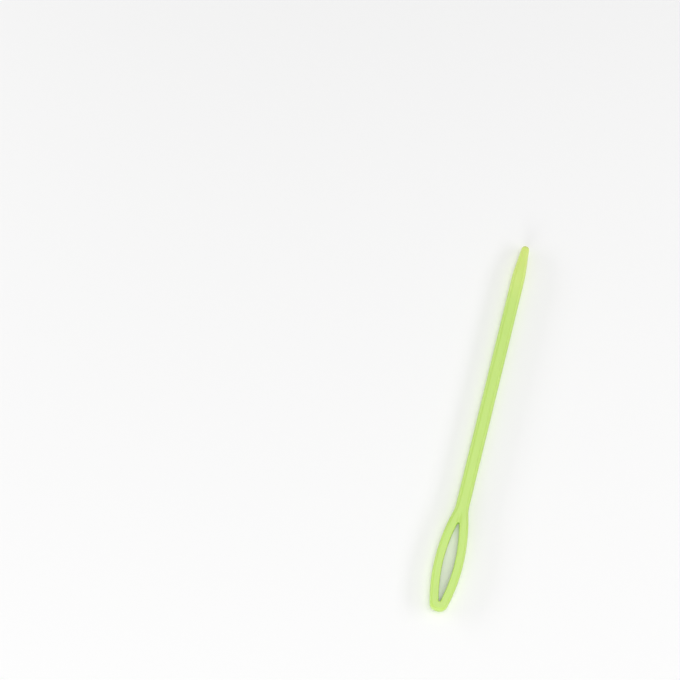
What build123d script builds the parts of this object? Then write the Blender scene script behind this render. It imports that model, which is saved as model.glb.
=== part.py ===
from build123d import *
import os
from math import sqrt

# Moulded plastic yarn needle for large stitches: a blunt tip, a straight shaft that is
# a little wider than it is thick, and a long almond eye between two curved arms.
# It is one moulding. It is kept as two solids that meet face to face at the neck: the
# loop of the eye, and the shaft with its tip. All lengths are millimetres.
# The needle lies flat along Y, eye end first and tip towards +Y, with +Z up.
# The origin is under the middle of its length, on the surface that it lies on.
# The mould parts on the level plane at half height, so both faces are alike.

os.makedirs("parts", exist_ok=True)

# Whole needle
needle_length = 90.0
body_thickness = 2.8

# Eye, with its places measured along the needle from the flat of the eye end
eye_width = 6.65
eye_widest_at = 11.5
eye_end_width = 3.4
eye_end_corner_radius = 1.75

# Opening of the eye, with its width and end radius at the parting plane
opening_length = 18.6
opening_width = 2.6
opening_start = 2.1
opening_end_radius = 0.2
opening_draft_angle = 2.0

# Shallow valley pressed into both faces where the arms meet, fading out towards the shaft
valley_length = 4.0
valley_lead = 2.0
valley_depth = 0.5

# Shaft, from the neck where the arms have closed in to the shoulder where the tip starts.
# The sides bow in for the turn share of their way to the neck, then turn back along the shaft.
neck_at = 25.0
neck_turn_share = 0.86
shaft_width = 3.1

# Tip, which narrows by as much in width as in thickness before its end is rounded
tip_length = 7.4
tip_narrowing = 1.4
tip_blend_length = 3.0
tip_rounding_radius = 0.6

# Rounding of the long edges, and the largest share of a wall that a rounding may take
outer_edge_radius = 0.7
opening_edge_radius = 0.3
rounding_limit_share = 0.48

# Stub left where the plastic entered the mould, snapped off at the eye end
gate_width = 0.9
gate_thickness = 0.7
gate_stand = 0.12

# Places and radii worked out from the sizes above
eye_end_y = gate_stand - needle_length / 2
tip_end_y = needle_length / 2
eye_widest_y = eye_end_y + eye_widest_at
neck_y = eye_end_y + neck_at
shoulder_y = tip_end_y - tip_length
blend_start_y = shoulder_y - tip_blend_length / 2
blend_end_share = tip_blend_length / 2 / tip_length
opening_y = eye_end_y + opening_start + opening_length / 2
valley_y = eye_end_y + opening_start + opening_length - valley_lead
middle_z = body_thickness / 2
tip_end_width = shaft_width - tip_narrowing
tip_end_thickness = body_thickness - tip_narrowing
outer_rounding = min(outer_edge_radius, rounding_limit_share * min(tip_end_width, tip_end_thickness))

# The opening is a lens of two equal arcs, and rounding its points brings it to its length
opening_half_width = opening_width / 2
opening_arc_radius = (
    (opening_length / 2 - opening_end_radius) ** 2 + opening_half_width**2 - opening_end_radius**2
) / (opening_width - 2 * opening_end_radius)
opening_point_reach = sqrt(opening_half_width * (2 * opening_arc_radius - opening_half_width))

# Planes through the middle of the thickness, as the mould parts and as seen from the side
parting_plane = Plane.XY.offset(middle_z)
side_plane = Plane(origin=(0, 0, middle_z), x_dir=(0, 1, 0), z_dir=(1, 0, 0))
eye_end_plane = Plane(origin=(0, eye_end_y, middle_z), x_dir=(1, 0, 0), z_dir=(0, -1, 0))
neck_plane = Plane(origin=(0, neck_y, middle_z), x_dir=(1, 0, 0), z_dir=(0, -1, 0))

with BuildPart() as moulding:
    # Outline from above: eye end, bowed side, S-shaped neck, straight shaft and tapered tip
    with BuildSketch(parting_plane) as outline:
        with BuildLine():
            Line((0, eye_end_y), (eye_end_width / 2, eye_end_y))
            TangentArc((eye_width / 2, eye_widest_y), (eye_end_width / 2, eye_end_y), tangent=(0, -1))
            closing = Line((eye_width / 2, eye_widest_y), (shaft_width / 2, neck_y), mode=Mode.PRIVATE)
            TangentArc(closing @ 0, closing @ neck_turn_share, tangent=(0, 1))
            TangentArc(closing @ 1, closing @ neck_turn_share, tangent=(0, -1))
            Line((shaft_width / 2, neck_y), (shaft_width / 2, blend_start_y))
            taper = Line((shaft_width / 2, shoulder_y), (tip_end_width / 2, tip_end_y), mode=Mode.PRIVATE)
            Spline((shaft_width / 2, blend_start_y), taper @ blend_end_share, tangents=((0, 1), taper % 0))
            Line(taper @ blend_end_share, taper @ 1)
            Line(taper @ 1, (0, tip_end_y))
            Line((0, tip_end_y), (0, eye_end_y))
        make_face()
        mirror(about=Plane.YZ)
        fillet(outline.vertices().group_by(Axis.Y)[0], radius=eye_end_corner_radius)
    extrude(amount=middle_z, both=True)

    # Outline from the side: level faces that close in on each other along the tip
    with BuildSketch(side_plane):
        with BuildLine():
            Line((eye_end_y, 0), (eye_end_y, middle_z))
            Line((eye_end_y, middle_z), (blend_start_y, middle_z))
            slope = Line((shoulder_y, middle_z), (tip_end_y, tip_end_thickness / 2), mode=Mode.PRIVATE)
            Spline((blend_start_y, middle_z), slope @ blend_end_share, tangents=((1, 0), slope % 0))
            Line(slope @ blend_end_share, slope @ 1)
            Line(slope @ 1, (tip_end_y, 0))
            Line((tip_end_y, 0), (eye_end_y, 0))
        make_face()
        mirror(about=Plane.XZ)
    extrude(amount=eye_width, both=True, mode=Mode.INTERSECT)

    # Long edges rounded from end to end, then the blunt end of the tip
    tip_edges = moulding.faces().sort_by(Axis.Y)[-1].edges()
    fillet(moulding.edges().filter_by(Axis.Z, reverse=True) - tip_edges, radius=outer_rounding)
    fillet(moulding.faces().sort_by(Axis.Y)[-1].edges(), radius=tip_rounding_radius)

    # Opening of the eye, a little wider at both faces so that it left the mould, with rounded rims
    with BuildSketch(parting_plane) as opening:
        with BuildLine():
            ThreePointArc(
                (0, opening_y - opening_point_reach),
                (opening_half_width, opening_y),
                (0, opening_y + opening_point_reach),
            )
            mirror(about=Plane.YZ)
        make_face()
        fillet(opening.vertices(), radius=opening_end_radius)
    extrude(amount=middle_z, both=True, taper=-opening_draft_angle, mode=Mode.SUBTRACT)
    rims = moulding.edges(Select.LAST).group_by(Axis.Z)
    fillet(rims[0] + rims[-1], radius=opening_edge_radius)

    # Valley in each face, running on from the tip end of the opening
    with Locations((0, valley_y, 0), (0, valley_y, body_thickness)):
        Cone(
            bottom_radius=valley_depth,
            top_radius=0,
            height=valley_lead + valley_length,
            rotation=(-90, 0, 0),
            align=(Align.CENTER, Align.CENTER, Align.MIN),
            mode=Mode.SUBTRACT,
        )

    # Snapped gate, in the middle of the eye end
    with BuildSketch(eye_end_plane):
        Rectangle(gate_width, gate_thickness)
    extrude(amount=gate_stand, both=True)

with BuildPart() as eye_loop:
    add(moulding.part)
    split(bisect_by=neck_plane, keep=Keep.TOP)

with BuildPart() as shaft:
    add(moulding.part)
    split(bisect_by=neck_plane, keep=Keep.BOTTOM)

eye_loop.part.label = "eye_loop"
export_step(eye_loop.part, "parts/eye_loop.step")

shaft.part.label = "shaft"
export_step(shaft.part, "parts/shaft.step")
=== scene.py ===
import logging
import math
from dataclasses import dataclass, field
from enum import Enum

import bmesh
import bpy
import numpy as np
from mathutils import Matrix, Vector, noise

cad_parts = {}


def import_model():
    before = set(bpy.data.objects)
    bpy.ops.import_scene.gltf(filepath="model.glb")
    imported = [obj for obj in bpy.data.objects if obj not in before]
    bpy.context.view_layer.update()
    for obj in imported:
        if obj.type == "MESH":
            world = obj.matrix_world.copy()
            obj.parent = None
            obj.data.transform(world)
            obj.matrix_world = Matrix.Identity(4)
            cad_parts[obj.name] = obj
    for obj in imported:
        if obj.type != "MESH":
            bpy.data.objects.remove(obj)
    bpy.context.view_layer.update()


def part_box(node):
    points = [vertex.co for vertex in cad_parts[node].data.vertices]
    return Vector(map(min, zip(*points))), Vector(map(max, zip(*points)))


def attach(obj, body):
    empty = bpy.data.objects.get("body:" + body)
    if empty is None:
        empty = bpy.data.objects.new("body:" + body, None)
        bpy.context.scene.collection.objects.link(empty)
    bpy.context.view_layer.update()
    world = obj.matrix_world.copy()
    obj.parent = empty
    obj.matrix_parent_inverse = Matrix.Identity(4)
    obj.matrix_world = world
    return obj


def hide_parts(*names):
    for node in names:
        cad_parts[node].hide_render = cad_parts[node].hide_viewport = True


MM = 0.001
BODY = "root"
EYE_NODE = "eye_loop"
SHAFT_NODE = "shaft"
WHITE = (1.0, 1.0, 1.0, 1.0)

log = logging.getLogger("yarn_needle")


class Scatter(Enum):
    """How far red, green and blue light travel inside a plastic, in millimetres."""

    LIME = (0.9, 1.1, 0.45)


class Mark(Enum):
    """Marks in the plastic's skin: width across and length along the needle in millimetres, and fineness."""

    STREAK = (0.8, 7.0, 2.0)
    PEEL = (0.28, 0.28, 3.0)
    # Real scuffs are about 0.03 mm wide, too fine to show, so they are drawn four times as coarse
    SCUFF = (0.12, 2.6, 2.0)


class Lamp(Enum):
    """The soft lamps: place and size in millimetres, and glow, which is 1 for lit white paper."""

    OVERHEAD = ((60.0, 20.0, 600.0), (420.0, 420.0), 2.4)
    RIGHT = ((430.0, 60.0, 190.0), (420.0, 90.0), 5.0)
    LEFT = ((-430.0, 0.0, 120.0), (420.0, 80.0), 5.0)
    NEAR = ((-40.0, -430.0, 130.0), (300.0, 110.0), 7.5)


def linear_rgb(hex_colour: str) -> tuple[float, float, float]:
    """Turns an sRGB hex colour into the linear values that a shader takes.

    Args:
        hex_colour: Colour as six hex digits, with or without a hash in front.

    Returns:
        Linear red, green and blue, each from 0 to 1.
    """
    digits = hex_colour.lstrip("#")
    values = [int(digits[place:place + 2], 16) / 255 for place in (0, 2, 4)]
    # The sRGB curve is a straight line near black and a power above it
    red, green, blue = (v / 12.92 if v <= 0.04045 else ((v + 0.055) / 1.055) ** 2.4 for v in values)
    return red, green, blue


def add_node(tree: bpy.types.NodeTree, kind: str, inputs: dict | None = None, **settings) -> bpy.types.Node:
    """Adds one node with its settings, its input values and its links.

    Args:
        tree: Node tree that takes the node.
        kind: Blender's name for the node type.
        inputs: Input socket names or numbers, each with a value or with an output socket to link.
        settings: Attributes of the node, such as blend_type.

    Returns:
        The new node.
    """
    node = tree.nodes.new(kind)
    for name, value in settings.items():
        setattr(node, name, value)
    for name, value in (inputs or {}).items():
        if isinstance(value, bpy.types.NodeSocket):
            tree.links.new(value, node.inputs[name])
        else:
            node.inputs[name].default_value = value
    return node


def mesh_piece(name: str, mesh: bmesh.types.BMesh, material: bpy.types.Material) -> bpy.types.Object:
    """Turns a finished mesh into a smooth object with its material.

    Args:
        name: Name of the new object.
        mesh: Mesh in metres, which is freed here.
        material: Material of the whole piece.

    Returns:
        The object, linked to the scene.
    """
    for face in mesh.faces:
        face.smooth = True
    data = bpy.data.meshes.new(name)
    mesh.to_mesh(data)
    mesh.free()
    data.materials.append(material)
    piece = bpy.data.objects.new(name, data)
    bpy.context.scene.collection.objects.link(piece)
    return piece


def smooth_step(value: np.ndarray | float) -> np.ndarray | float:
    """Rises from 0 to 1 with level ends, for values from 0 to 1."""
    clipped = np.clip(value, 0.0, 1.0)
    return clipped * clipped * (3 - 2 * clipped)


def arc(centre: tuple[float, float], radius: float, start: float, end: float, count: int) -> np.ndarray:
    """Gives points along a circle's arc, from one angle to another."""
    angle = np.linspace(start, end, count)
    return np.array(centre) + radius * np.stack([np.cos(angle), np.sin(angle)], axis=1)


def between(start: np.ndarray, end: np.ndarray, count: int) -> np.ndarray:
    """Spaces points between two rows of places, without their ends and closest beside them."""
    shares = (1 - np.cos(np.linspace(0, math.pi, count + 2)[1:-1])) / 2
    return start[:, None, :] + (end - start)[:, None, :] * shares[None, :, None]


@dataclass
class Path:
    """A plane curve through many points, read by the distance along it."""

    points: np.ndarray
    lengths: np.ndarray = field(init=False)

    def __post_init__(self) -> None:
        """Works out the distance from the start to each point."""
        steps = np.linalg.norm(np.diff(self.points, axis=0), axis=1)
        self.lengths = np.concatenate([[0.0], np.cumsum(steps)])

    def at(self, distance: np.ndarray) -> np.ndarray:
        """Gives the points that lie at the given distances along the path."""
        return np.stack([np.interp(distance, self.lengths, self.points[:, axis]) for axis in (0, 1)], axis=1)

    def normal(self, distance: np.ndarray, reach: float = 0.02) -> np.ndarray:
        """Gives unit vectors at right angles to the path, turned left of its direction.

        Args:
            distance: Distances along the path, in millimetres.
            reach: Half of the stretch that the direction is taken over, in millimetres.

        Returns:
            One unit vector for each distance.
        """
        along = self.at(distance + reach) - self.at(distance - reach)
        along /= np.linalg.norm(along, axis=1)[:, None]
        return np.stack([-along[:, 1], along[:, 0]], axis=1)

    def distance_at(self, place: float) -> float:
        """Gives the distance along the path where it comes to a place along the needle."""
        return float(np.interp(place, self.points[:, 1], self.lengths))


@dataclass(frozen=True)
class PlasticFinish:
    """Injection-moulded polypropylene, dyed through, from a polished mould. Sizes are millimetres."""

    name: str = "moulded_polypropylene_lime"
    body_colour: str = "#C5E676"
    # Painted light: a paler, yellower colour for the tip, standing in for brighter light on that end
    lit_tip_colour: str = "#DEF188"
    streak_tint: str = "#F8F9EA"
    paler_from: float = 25.0
    paler_to: float = 45.0
    ior: float = 1.49
    roughness: float = 0.30
    roughness_spread: float = 0.06
    scatter_weight: float = 0.22
    scatter: Scatter = Scatter.LIME
    peel_height: float = 0.0012
    scuff_height: float = 0.0006

    def make(self) -> bpy.types.Material:
        """Builds the material.

        Returns:
            The node material.
        """
        # Light goes a little way into dyed polypropylene, and the polished mould leaves a soft shine, so the
        # eye sees a clean, soft yellow-green. Close up there are pale streaks drawn out along the flow, a
        # faint unevenness of the skin, and fine scuffs from lying loose among other needles.
        material = bpy.data.materials.new(self.name)
        material.use_nodes = True
        tree = material.node_tree
        tree.nodes.clear()
        place = add_node(tree, "ShaderNodeTexCoord").outputs["Object"]

        # One noise cell of each pattern is as long and as wide as its mark
        amount = {}
        for mark in Mark:
            width, length, detail = mark.value
            across, along = 1 / (width * MM), 1 / (length * MM)
            scaled = add_node(tree, "ShaderNodeMapping", {"Vector": place, "Scale": (across, along, across)})
            cells = {"Vector": scaled.outputs["Vector"], "Scale": 1.0, "Detail": detail}
            amount[mark] = add_node(tree, "ShaderNodeTexNoise", cells).outputs["Fac"]

        # Painted light: the colour turns paler and a little yellower towards the tip, standing in for the
        # brighter light that falls on that end
        along = add_node(tree, "ShaderNodeSeparateXYZ", {"Vector": place}).outputs["Y"]
        tip_light = add_node(
            tree,
            "ShaderNodeMapRange",
            {"Value": along, "From Min": self.paler_from * MM, "From Max": self.paler_to * MM},
            interpolation_type="SMOOTHSTEP",
        )
        body_colour, lit_tip_colour, streak_tint = (
            (*linear_rgb(colour), 1.0) for colour in (self.body_colour, self.lit_tip_colour, self.streak_tint)
        )
        plain = add_node(
            tree,
            "ShaderNodeMix",
            {0: tip_light.outputs["Result"], 6: body_colour, 7: lit_tip_colour},
            data_type="RGBA",
        )
        dye = add_node(
            tree,
            "ShaderNodeMix",
            {0: amount[Mark.STREAK], 6: plain.outputs[2], 7: streak_tint},
            data_type="RGBA",
            blend_type="MULTIPLY",
        )
        shine = add_node(
            tree,
            "ShaderNodeMapRange",
            {
                "Value": amount[Mark.SCUFF],
                "To Min": self.roughness - self.roughness_spread,
                "To Max": self.roughness + self.roughness_spread,
            },
        )
        skin = add_node(
            tree,
            "ShaderNodeBump",
            {"Height": amount[Mark.PEEL], "Strength": 1.0, "Distance": self.peel_height * MM},
        )
        scuffs = add_node(
            tree,
            "ShaderNodeBump",
            {
                "Height": amount[Mark.SCUFF],
                "Normal": skin.outputs["Normal"],
                "Strength": 1.0,
                "Distance": self.scuff_height * MM,
            },
        )
        shader = add_node(
            tree,
            "ShaderNodeBsdfPrincipled",
            {
                "Base Color": dye.outputs[2],
                "Roughness": shine.outputs["Result"],
                "Normal": scuffs.outputs["Normal"],
                "IOR": self.ior,
                "Metallic": 0.0,
                "Subsurface Weight": self.scatter_weight,
                "Subsurface Radius": self.scatter.value,
                "Subsurface Scale": MM,
            },
        )
        add_node(tree, "ShaderNodeOutputMaterial", {"Surface": shader.outputs["BSDF"]})
        return material


@dataclass(frozen=True)
class NeedleForm:
    """The needle's sizes in millimetres, and the outlines and cross-sections that they give."""

    length: float
    thickness: float
    eye_width: float
    shaft_width: float
    neck_y: float
    gate_stand: float = 0.12
    eye_widest_at: float = 11.5
    eye_end_width: float = 3.4
    eye_end_corner: float = 1.75
    opening_start: float = 2.1
    opening_length: float = 18.6
    opening_width: float = 2.6
    opening_end_radius: float = 0.2
    opening_draft: float = math.radians(2.0)
    neck_turn_share: float = 0.86
    tip_length: float = 7.4
    tip_narrowing: float = 1.4
    tip_blend: float = 3.0
    dome_length: float = 0.8
    eye_rounding: float = 0.62
    shaft_rounding: float = 0.95
    rounding_change_lead: float = 3.0
    rounding_change_length: float = 11.0
    rounding_limit: float = 0.9
    rim_rounding: float = 0.3
    side_draft: float = math.radians(1.2)
    seam_stand: float = 0.03
    seam_half_width: float = 0.07
    seam_limit: float = 0.15
    # Where the side's points lie from half thickness up, as shares of the seam and of the wall beside it
    seam_levels: tuple[float, ...] = (0.0, 0.45, 1.0)
    seam_wall_shares: tuple[float, ...] = (0.0, 0.1, 0.25)
    seam_profile: tuple[float, ...] = (0.0, 0.7, 1.0, 1.0, 1.0, 1.0)
    wall_levels: tuple[float, ...] = (0.3, 0.65, 1.0)
    rounding_points: int = 10
    curve_points: int = 400

    @classmethod
    def from_frame(cls) -> "NeedleForm":
        """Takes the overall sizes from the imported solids, and the finer ones as they are given here.

        Returns:
            The needle's sizes.
        """
        eye_low, eye_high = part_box(EYE_NODE)
        shaft_low, shaft_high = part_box(SHAFT_NODE)
        return cls(
            length=(shaft_high.y - eye_low.y) / MM,
            thickness=(eye_high.z - eye_low.z) / MM,
            eye_width=(eye_high.x - eye_low.x) / MM,
            shaft_width=(shaft_high.x - shaft_low.x) / MM,
            neck_y=eye_high.y / MM,
        )

    @property
    def eye_end_y(self) -> float:
        """Place of the flat of the eye end."""
        return self.gate_stand - self.length / 2

    @property
    def tip_y(self) -> float:
        """Place of the far end of the tip."""
        return self.length / 2

    @property
    def widest_y(self) -> float:
        """Place where the eye is widest."""
        return self.eye_end_y + self.eye_widest_at

    @property
    def opening_ends(self) -> tuple[float, float]:
        """Places of the two ends of the opening."""
        start = self.eye_end_y + self.opening_start
        return start, start + self.opening_length

    @property
    def dome_y(self) -> float:
        """Place where the blunt end of the tip starts to round off."""
        return self.tip_y - self.dome_length

    @property
    def taper_y(self) -> float:
        """Place where the shaft starts to close in towards the tip."""
        return self.tip_y - self.tip_length - self.tip_blend / 2

    def side(self) -> Path:
        """Draws the right-hand outline from above, from the middle of the eye end to the neck.

        Returns:
            The outline, which is a flat, a corner, a bowed side, a closing curve and the neck's turn.
        """
        eye_half, end_half, neck_half = self.eye_width / 2, self.eye_end_width / 2, self.shaft_width / 2
        count, radius = self.curve_points, self.eye_end_corner
        bow = eye_half - end_half
        bow_radius = (self.eye_widest_at**2 + bow**2) / (2 * bow)
        corner_drop = self.eye_widest_at - radius
        corner_reach = math.sqrt((bow_radius - radius) ** 2 - corner_drop**2)
        corner_x = eye_half - bow_radius + corner_reach
        joint = math.atan2(-corner_drop, corner_reach)
        share = self.neck_turn_share
        close_x, close_y = (eye_half - neck_half) * share, (self.neck_y - self.widest_y) * share
        close_radius = (close_x**2 + close_y**2) / (2 * close_x)
        turn_radius = close_radius * (1 - share) / share
        lean = math.asin(close_y / close_radius)
        flat = np.array([[0.0, self.eye_end_y]])
        corner = arc((corner_x, self.eye_end_y + radius), radius, -math.pi / 2, joint, count)
        bowed = arc((eye_half - bow_radius, self.widest_y), bow_radius, joint, 0, count)
        closing = arc((eye_half - close_radius, self.widest_y), close_radius, 0, lean, count)
        neck = arc((neck_half + turn_radius, self.neck_y), turn_radius, math.pi + lean, math.pi, count)
        return Path(np.concatenate([flat, corner[:-1], bowed[:-1], closing[:-1], neck]))

    def opening(self) -> tuple[Path, float]:
        """Draws the right-hand edge of the opening from above, at half thickness.

        Returns:
            The edge from its eye-end point to its tip-end point, and the length of each end's arc.
        """
        half, radius, count = self.opening_width / 2, self.opening_end_radius, self.curve_points
        reach = self.opening_length / 2 - radius
        middle = sum(self.opening_ends) / 2
        arc_radius = (reach**2 + half**2 - radius**2) / (2 * (half - radius))
        meet = math.atan2(reach, arc_radius - half)
        near = arc((0, middle - reach), radius, -math.pi / 2, -meet, count)
        edge = arc((half - arc_radius, middle), arc_radius, -meet, meet, count)
        far = arc((0, middle + reach), radius, meet, math.pi / 2, count)
        near[0, 0] = far[-1, 0] = 0.0
        return Path(np.concatenate([near[:-1], edge[:-1], far])), radius * (math.pi / 2 - meet)

    def taper(self, place: np.ndarray) -> np.ndarray:
        """Gives how far the tip has closed in on each side, with a soft start at the shoulder.

        Args:
            place: Places along the needle.

        Returns:
            The narrowing of one side at each place.
        """
        slope = self.tip_narrowing / 2 / self.tip_length
        into = np.clip(place - self.taper_y, 0, self.tip_blend)
        beyond = np.clip(place - self.taper_y - self.tip_blend, 0, None)
        return slope * (into**2 / (2 * self.tip_blend) + beyond)

    def half_width(self, place: np.ndarray) -> np.ndarray:
        """Gives half the width of the shaft and tip at places beyond the neck."""
        return self.shaft_width / 2 - self.taper(place)

    def half_thickness(self, place: np.ndarray) -> np.ndarray:
        """Gives half the thickness at places along the needle."""
        return self.thickness / 2 - self.taper(place)

    def dome(self, place: np.ndarray) -> np.ndarray:
        """Gives the share of its size that the tip keeps as its end rounds off."""
        into = np.clip((place - self.dome_y) / self.dome_length, 0, 1)
        return np.sqrt(1 - into**2)

    def rounding(self, place: np.ndarray) -> np.ndarray:
        """Gives the radius of the long edges: tight round the eye, fuller along the shaft.

        Args:
            place: Places along the needle.

        Returns:
            The radius at each place.
        """
        start = self.opening_ends[1] - self.rounding_change_lead
        share = smooth_step((place - start) / self.rounding_change_length)
        return self.eye_rounding + (self.shaft_rounding - self.eye_rounding) * share

    def side_levels(self, thickness: np.ndarray, radius: np.ndarray) -> tuple[np.ndarray, np.ndarray]:
        """Lays out one side from half thickness up to the level face.

        Args:
            thickness: Half thickness for each row.
            radius: Edge radius for each row, no more than the half thickness.

        Returns:
            How far in from the outline each point lies, and its height above half thickness.
        """
        # The mould's parting line stands out by a hair at half thickness, and the wall leans in above it
        wall = thickness - radius
        seam_up = np.minimum(
            self.seam_half_width * np.array(self.seam_levels), wall[:, None] * np.array(self.seam_wall_shares)
        )
        wall_up = seam_up[:, -1:] + (wall[:, None] - seam_up[:, -1:]) * np.array(self.wall_levels)
        up = np.concatenate([seam_up, wall_up], axis=1)
        stand = np.minimum(self.seam_stand, self.seam_limit * wall)[:, None] * np.array(self.seam_profile)
        inward = stand + up * math.tan(self.side_draft)
        turn = np.linspace(0, math.pi / 2, self.rounding_points + 1)[1:]
        round_in = inward[:, -1:] + radius[:, None] * (1 - np.cos(turn))
        round_up = wall[:, None] + radius[:, None] * np.sin(turn)
        return np.concatenate([inward, round_in], axis=1), np.concatenate([up, round_up], axis=1)


@dataclass
class EyeLoop:
    """The two bowed arms round the opening, as rows of points over one quarter of the skin."""

    form: NeedleForm
    crotch_lead: float = 1.2
    corner_rows: int = 21
    arm_rows: int = 91
    fan_rows: int = 16
    face_columns: int = 9
    rim_columns: int = 9

    def crotch(self, outer: Path) -> float:
        """Gives the distance along the outline where the arms' rows end and the shaft's begin."""
        return outer.distance_at(self.form.opening_ends[1] + self.crotch_lead)

    def rows(self) -> np.ndarray:
        """Lays rows from the outer outline over one face to the wall of the opening.

        Returns:
            Places as an array of rows, columns and the three coordinates.
        """
        form = self.form
        outer, (inner, end_arc) = form.side(), form.opening()
        near, far = form.opening_ends
        total = inner.lengths[-1]

        # The rows fan out round both ends of the opening and cross the arms between them
        outer_stops = (
            0.0,
            outer.distance_at(near + form.opening_end_radius),
            outer.distance_at(far - form.opening_end_radius - self.crotch_lead),
            self.crotch(outer),
        )
        inner_stops = (0.0, end_arc, total - end_arc, total)
        counts = (self.corner_rows, self.arm_rows, self.fan_rows)
        knots = np.concatenate([[0], np.cumsum(counts)])
        steps = np.arange(knots[-1] + 1)
        outer_run, inner_run = np.interp(steps, knots, outer_stops), np.interp(steps, knots, inner_stops)
        start, edge = outer.at(outer_run), inner.at(inner_run)
        inward, outward = outer.normal(outer_run), -inner.normal(inner_run)

        # Where a row lies on the needle's middle, it runs straight along the needle
        inward[0], outward[0], outward[-1] = (0, 1), (0, -1), (0, 1)
        offset, up = form.side_levels(form.half_thickness(start[:, 1]), form.rounding(start[:, 1]))
        side = start[:, None, :] + inward[:, None, :] * offset[:, :, None]
        return self.over_the_rim(side, up, edge, outward)

    def over_the_rim(
        self, side: np.ndarray, up: np.ndarray, edge: np.ndarray, outward: np.ndarray
    ) -> np.ndarray:
        """Carries each row across the level face and over the rim down to half thickness.

        Args:
            side: Places of the side points from above.
            up: Heights of the side points.
            edge: Places of the opening's edge at half thickness.
            outward: Unit vectors from the opening into the plastic.

        Returns:
            Whole rows as an array of rows, columns and the three coordinates.
        """
        form = self.form
        top = up[:, -1:]
        wall = top - form.rim_rounding
        turn = np.linspace(math.pi / 2, 0, self.rim_columns)
        rim_back = wall * math.tan(form.opening_draft) + form.rim_rounding * (1 - np.cos(turn))
        rim_up = wall + form.rim_rounding * np.sin(turn)

        # Below the rim the wall goes down to the parting line, which stands out at half thickness
        seam = np.full_like(wall, form.seam_half_width)
        low_up = np.concatenate([wall * 2 / 3, wall / 3, seam, np.zeros_like(wall)], axis=1)
        low_back = low_up * math.tan(form.opening_draft)
        low_back[:, -1] -= form.seam_stand
        back = np.concatenate([rim_back, low_back], axis=1)
        rim = edge[:, None, :] + outward[:, None, :] * back[:, :, None]
        level = between(side[:, -1], rim[:, 0], self.face_columns)
        places = np.concatenate([side, level, rim], axis=1)
        heights = np.concatenate([up, np.repeat(top, level.shape[1], axis=1), rim_up, low_up], axis=1)
        return np.concatenate([places, heights[:, :, None]], axis=2)


@dataclass
class Shaft:
    """The neck, the straight shaft and the tip, as rows of points over one quarter of the skin."""

    form: NeedleForm
    eye: EyeLoop
    fork_rows: int = 28
    fan_rows: int = 19
    straight_rows: int = 109
    taper_rows: int = 33
    dome_rows: int = 13

    def rows(self) -> np.ndarray:
        """Lays rows across one face, from the fork of the arms to the end of the tip.

        Returns:
            Places as an array of rows, columns and the three coordinates.
        """
        form = self.form
        outer = form.side()
        run = np.linspace(self.eye.crotch(outer), outer.lengths[-1], self.fork_rows)
        fork = outer.at(run)
        beyond = self.places_beyond_neck()
        keep = np.concatenate([np.ones(len(fork)), form.dome(beyond)])
        width = np.concatenate([fork[:, 0], form.half_width(beyond)]) * keep
        place = np.concatenate([fork[:, 1], beyond])
        inward = np.concatenate([outer.normal(run), np.tile([-1.0, 0.0], (len(beyond), 1))])
        thickness = form.half_thickness(place) * keep
        radius = np.minimum(form.rounding(place), form.rounding_limit * np.minimum(width, thickness))
        offset, up = form.side_levels(thickness, radius)
        offset *= np.minimum(1, width / np.maximum(offset[:, -1], form.seam_stand))[:, None]
        side = np.stack([width, place], axis=1)[:, None, :] + inward[:, None, :] * offset[:, :, None]
        middle = np.stack([np.zeros_like(place), self.middle_places(place)], axis=1)
        level = between(side[:, -1], middle, self.eye.face_columns)
        places = np.concatenate([side, level, middle[:, None, :]], axis=1)
        heights = np.concatenate([up, np.repeat(up[:, -1:], level.shape[1] + 1, axis=1)], axis=1)
        return np.concatenate([places, heights[:, :, None]], axis=2)

    def places_beyond_neck(self) -> np.ndarray:
        """Spaces the rows along the shaft and the tip, closest where the tip rounds off.

        Returns:
            Places along the needle, from beyond the neck to the end of the tip.
        """
        form = self.form
        straight = np.linspace(form.neck_y, form.taper_y, self.straight_rows + 1)[1:]
        taper = np.linspace(form.taper_y, form.dome_y, self.taper_rows + 1)[1:]
        turn = np.linspace(0, math.pi / 2, self.dome_rows + 1)[1:]
        return np.concatenate([straight, taper, form.dome_y + form.dome_length * np.sin(turn)])

    def middle_places(self, place: np.ndarray) -> np.ndarray:
        """Gives where each row meets the needle's middle, fanned out from the end of the opening's rim.

        Args:
            place: Places where the rows meet the outline.

        Returns:
            Places where the rows meet the middle.
        """
        form = self.form
        wall = form.thickness / 2 - form.rim_rounding
        rim_end = form.opening_ends[1] + form.rim_rounding + wall * math.tan(form.opening_draft)
        middle = place.copy()
        middle[:self.fan_rows] = np.linspace(rim_end, place[self.fan_rows - 1], self.fan_rows)
        return middle


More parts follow.
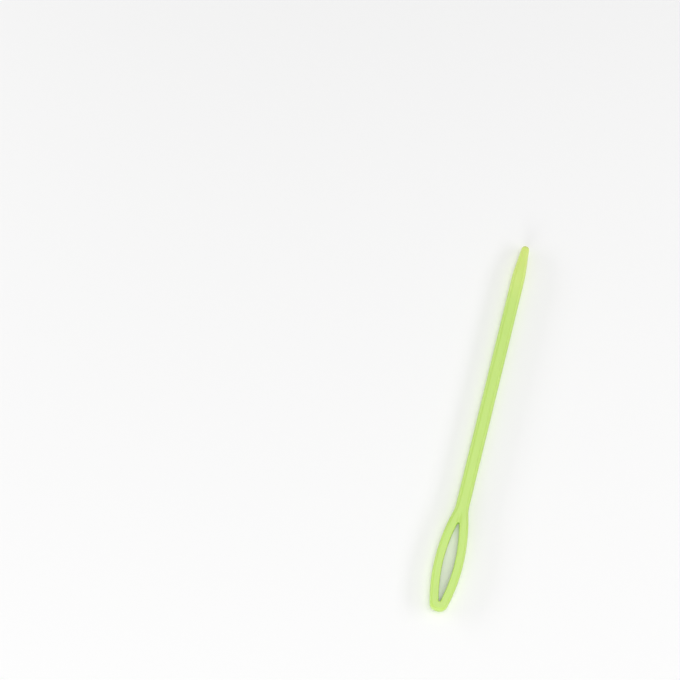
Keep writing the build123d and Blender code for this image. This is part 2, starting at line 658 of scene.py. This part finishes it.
@dataclass
class NeedleMoulding:
    """The whole needle as one closed skin, from the eye end to the blunt tip. Sizes are millimetres."""

    form: NeedleForm
    weld: float = 0.0008
    valley_length: float = 4.0
    valley_lead: float = 3.0
    valley_lead_length: float = 2.4
    valley_depth: float = 0.17
    valley_half_width: float = 0.42
    valley_end_share: float = 0.55
    valley_face_power: int = 4
    ripple_height: float = 0.006
    ripple_length: float = 9.0
    ripple_width: float = 3.6
    ripple_level: float = 0.35

    def build(self, material: bpy.types.Material) -> bpy.types.Object:
        """Builds the skin and puts it on its body, in the place of both solids.

        Args:
            material: Plastic of the needle.

        Returns:
            The mesh object.
        """
        eye = EyeLoop(self.form)
        mesh = bmesh.new()
        for rows in (eye.rows(), Shaft(self.form, eye).rows()):
            self.add_quarters(mesh, rows)
        bmesh.ops.remove_doubles(mesh, verts=mesh.verts, dist=self.weld * MM)
        bmesh.ops.dissolve_degenerate(mesh, edges=mesh.edges, dist=self.weld / 2 * MM)
        bmesh.ops.recalc_face_normals(mesh, faces=mesh.faces)
        self.press_valley(mesh)
        self.ripple(mesh)
        bmesh.ops.translate(mesh, verts=mesh.verts, vec=(0, 0, self.form.thickness / 2 * MM))
        piece = mesh_piece("needle_moulding", mesh, material)
        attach(piece, BODY)
        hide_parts(EYE_NODE, SHAFT_NODE)
        return piece

    def add_quarters(self, mesh: bmesh.types.BMesh, rows: np.ndarray) -> None:
        """Adds a grid of faces and its three mirror images.

        Args:
            mesh: Mesh that takes the faces.
            rows: Places of one quarter, as rows, columns and the three coordinates.
        """
        count_rows, count_columns = rows.shape[:2]
        for side in (1, -1):
            for face in (1, -1):
                places = rows * np.array([side, 1, face]) * MM
                verts = [[mesh.verts.new(place) for place in row] for row in places]
                for i in range(count_rows - 1):
                    for j in range(count_columns - 1):
                        corners = (verts[i][j], verts[i][j + 1], verts[i + 1][j + 1], verts[i + 1][j])
                        mesh.faces.new(corners if side == face else corners[::-1])

    def press_valley(self, mesh: bmesh.types.BMesh) -> None:
        """Presses the shallow valley into both faces where the arms meet, deepest at the opening.

        Args:
            mesh: Mesh of the skin, which is changed in place.
        """
        start = self.form.opening_ends[1]
        for vertex in mesh.verts:
            across, along, up = vertex.co / MM
            fade = 1 - float(smooth_step((along - start) / self.valley_length))
            near = float(smooth_step((along - start + self.valley_lead) / self.valley_lead_length))
            width = self.valley_half_width * (self.valley_end_share + (1 - self.valley_end_share) * fade)
            depth = self.valley_depth * fade * near * math.exp(-((across / width) ** 2))
            share = abs(up) / (self.form.thickness / 2)
            vertex.co.z -= math.copysign(depth * share**self.valley_face_power, up) * MM

    def ripple(self, mesh: bmesh.types.BMesh) -> None:
        """Sinks the skin a little here and there, as a thick moulding does when it cools.

        Args:
            mesh: Mesh of the skin, which is changed in place.
        """
        mesh.normal_update()
        for vertex in mesh.verts:
            across, along, up = vertex.co / MM
            cell = Vector((across / self.ripple_width, along / self.ripple_length, up / self.ripple_width))
            swell = min(noise.noise(cell) - self.ripple_level, 0.0)
            vertex.co += vertex.normal * (self.ripple_height * swell * MM)


@dataclass
class GateScar:
    """The snapped-off stub in the middle of the eye end. Sizes are millimetres."""

    form: NeedleForm
    width: float = 0.99
    height: float = 0.76
    stand: float = 0.11
    root: float = 0.3
    tear_size: float = 0.18
    tear_least: float = 0.1
    tear_middle: float = 0.62
    tear_spread: float = 0.34
    edge_sharpness: int = 6
    edge_share: float = 0.25
    columns: int = 14
    rows: int = 11

    def build(self, material: bpy.types.Material) -> bpy.types.Object:
        """Builds the torn stub as a closed mesh and puts it on its body.

        Args:
            material: Plastic of the needle.

        Returns:
            The mesh object.
        """
        mesh = bmesh.new()
        front, back = (
            [[mesh.verts.new(self.place(i, j, shown)) for i in range(self.columns)] for j in range(self.rows)]
            for shown in (True, False)
        )
        for grid in (front, back):
            for j in range(self.rows - 1):
                for i in range(self.columns - 1):
                    mesh.faces.new((grid[j][i], grid[j][i + 1], grid[j + 1][i + 1], grid[j + 1][i]))
        last_column, last_row = self.columns - 1, self.rows - 1
        ring = [(i, 0) for i in range(last_column)]
        ring += [(last_column, j) for j in range(last_row)]
        ring += [(i, last_row) for i in range(last_column, 0, -1)]
        ring += [(0, j) for j in range(last_row, 0, -1)]
        for (i, j), (k, m) in zip(ring, ring[1:] + ring[:1]):
            mesh.faces.new((front[j][i], front[m][k], back[m][k], back[j][i]))
        bmesh.ops.recalc_face_normals(mesh, faces=mesh.faces)
        piece = mesh_piece("gate_scar", mesh, material)
        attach(piece, BODY)
        return piece

    def place(self, column: int, row: int, shown: bool) -> Vector:
        """Gives one point of the stub, on its uneven torn front or on its root inside the needle.

        Args:
            column: Number of the point across the stub.
            row: Number of the point up the stub.
            shown: Whether the point is on the front.

        Returns:
            The place in metres.
        """
        across = 2 * column / (self.columns - 1) - 1
        up = 2 * row / (self.rows - 1) - 1
        x = across * math.sqrt(1 - up * up / 2) * self.width / 2
        z = up * math.sqrt(1 - across * across / 2) * self.height / 2
        height = self.form.thickness / 2 + z
        if not shown:
            return Vector((x, self.form.eye_end_y + self.root, height)) * MM
        edge = 1 - max(abs(across), abs(up)) ** self.edge_sharpness
        torn = self.tear_middle + self.tear_spread * noise.noise(Vector((x, z, self.root)) / self.tear_size)
        share = self.edge_share + (1 - self.edge_share) * edge
        stand = self.stand * share * min(max(torn, self.tear_least), 1.0)
        return Vector((x, self.form.eye_end_y - stand, height)) * MM


@dataclass
class Studio:
    """Floor, soft lamps, surroundings and camera. Sizes are millimetres."""

    floor_size: float = 4000.0
    floor_colour: str = "#F4F4F4"
    near_lift: float = 0.10
    far_lift: float = 0.66
    lit_radius: float = 260.0
    dim_radius: float = 430.0
    floor_gap: float = 0.015
    surroundings: float = 0.36
    aim: tuple[float, float, float] = (-37.294, 11.769, 0.0)
    heading: float = math.radians(-14.493)
    elevation: float = math.radians(74.0)
    distance: float = 455.44
    view_angle: float = math.radians(20.0)
    nearest_seen: float = 10.0
    farthest_seen: float = 20000.0

    def build(self) -> None:
        """Sets up everything that isn't the needle."""
        self.add_floor()
        self.add_surroundings()
        for lamp in Lamp:
            self.add_lamp(lamp)
        self.add_camera()
        bpy.context.scene.view_settings.view_transform = "Standard"

    def add_floor(self) -> None:
        """Adds the pale floor, which keeps the needle's shadow and shows near white."""
        # Uncoated paper scatters light evenly, so the floor has no shine and shows only the soft shadow
        material = bpy.data.materials.new("uncoated_paper_sweep")
        material.use_nodes = True
        tree = material.node_tree
        tree.nodes.clear()
        matt = add_node(tree, "ShaderNodeBsdfDiffuse", {"Color": (*linear_rgb(self.floor_colour), 1.0)})

        # Behind the lamps the floor would turn grey, so it is lifted to white there
        place = add_node(tree, "ShaderNodeNewGeometry").outputs["Position"]
        away = add_node(tree, "ShaderNodeVectorMath", {0: place}, operation="LENGTH").outputs["Value"]
        lift = add_node(
            tree,
            "ShaderNodeMapRange",
            {
                "Value": away,
                "From Min": self.lit_radius * MM,
                "From Max": self.dim_radius * MM,
                "To Min": self.near_lift,
                "To Max": self.far_lift,
            },
            interpolation_type="SMOOTHSTEP",
        )
        shown = self.plainly_seen(tree)
        strength = add_node(
            tree, "ShaderNodeMath", {0: shown, 1: lift.outputs["Result"]}, operation="MULTIPLY"
        )
        glow = add_node(tree, "ShaderNodeEmission", {"Color": WHITE, "Strength": strength.outputs[0]})
        both = add_node(tree, "ShaderNodeAddShader", {0: matt.outputs[0], 1: glow.outputs[0]})
        add_node(tree, "ShaderNodeOutputMaterial", {"Surface": both.outputs[0]})
        mesh = bmesh.new()
        down = Matrix.Translation((0, 0, -self.floor_gap * MM))
        bmesh.ops.create_grid(mesh, x_segments=1, y_segments=1, size=self.floor_size / 2 * MM, matrix=down)
        mesh_piece("floor", mesh, material)

    def plainly_seen(self, tree: bpy.types.NodeTree) -> bpy.types.NodeSocket:
        """Adds the nodes that tell a surface that is looked at from one that only gives light.

        It counts as looked at when it is seen straight, in a reflection or through glass.

        Args:
            tree: Node tree of the floor or of the surroundings.

        Returns:
            Output socket that is 1 where the surface is looked at, and 0 where it only gives light.
        """
        rays = add_node(tree, "ShaderNodeLightPath").outputs
        shown = rays["Is Camera Ray"]
        for kind in ("Is Glossy Ray", "Is Transmission Ray"):
            either = add_node(tree, "ShaderNodeMath", {0: shown, 1: rays[kind]}, operation="MAXIMUM")
            shown = either.outputs[0]
        return shown

    def add_surroundings(self) -> None:
        """Lights the needle evenly from all round, and shows white behind it."""
        world = bpy.data.worlds.new("white_tent")
        world.use_nodes = True
        tree = world.node_tree
        tree.nodes.clear()
        shown = self.plainly_seen(tree)
        strength = add_node(
            tree, "ShaderNodeMix", {0: shown, 2: self.surroundings, 3: 1.0}, data_type="FLOAT"
        )
        sky = add_node(tree, "ShaderNodeBackground", {"Color": WHITE, "Strength": strength.outputs[0]})
        add_node(tree, "ShaderNodeOutputWorld", {"Surface": sky.outputs[0]})
        bpy.context.scene.world = world

    def add_lamp(self, lamp: Lamp) -> None:
        """Adds one soft lamp, turned to face the needle.

        Args:
            lamp: Which lamp, with its place, size and glow.
        """
        place, (width, height), glow = lamp.value
        data = bpy.data.lights.new(lamp.name.lower(), "AREA")
        data.shape = "RECTANGLE"
        data.size, data.size_y = width * MM, height * MM
        data.energy = glow * math.pi * data.size * data.size_y
        piece = bpy.data.objects.new(lamp.name.lower(), data)
        bpy.context.scene.collection.objects.link(piece)
        spot = Vector(place) * MM
        piece.matrix_world = Matrix.Translation(spot) @ (-spot).to_track_quat("-Z", "Y").to_matrix().to_4x4()

    def add_camera(self) -> None:
        """Adds the camera at the photograph's height, heading and distance."""
        data = bpy.data.cameras.new("camera")
        data.angle = self.view_angle
        data.clip_start, data.clip_end = self.nearest_seen * MM, self.farthest_seen * MM
        camera = bpy.data.objects.new("camera", data)
        bpy.context.scene.collection.objects.link(camera)
        level = Vector((math.sin(self.heading), math.cos(self.heading), 0))
        look = level * math.cos(self.elevation) - Vector((0, 0, math.sin(self.elevation)))
        right = Vector((level.y, -level.x, 0))
        turn = Matrix((right, right.cross(look), -look)).transposed().to_4x4()
        spot = (Vector(self.aim) - look * self.distance) * MM
        camera.matrix_world = Matrix.Translation(spot) @ turn
        bpy.context.scene.camera = camera


def report(piece: bpy.types.Object) -> None:
    """Logs a piece with its size and its number of faces."""
    sizes = " x ".join(f"{side / MM:.2f}" for side in piece.dimensions)
    log.info("%s: %s mm, %d faces", piece.name, sizes, len(piece.data.polygons))


def main() -> None:
    """Builds the needle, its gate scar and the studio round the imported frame."""
    logging.basicConfig(level=logging.INFO, format="%(name)s %(message)s")
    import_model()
    form = NeedleForm.from_frame()
    plastic = PlasticFinish().make()
    for part in (NeedleMoulding(form), GateScar(form)):
        report(part.build(plastic))
    Studio().build()


if __name__ == "__main__":
    main()
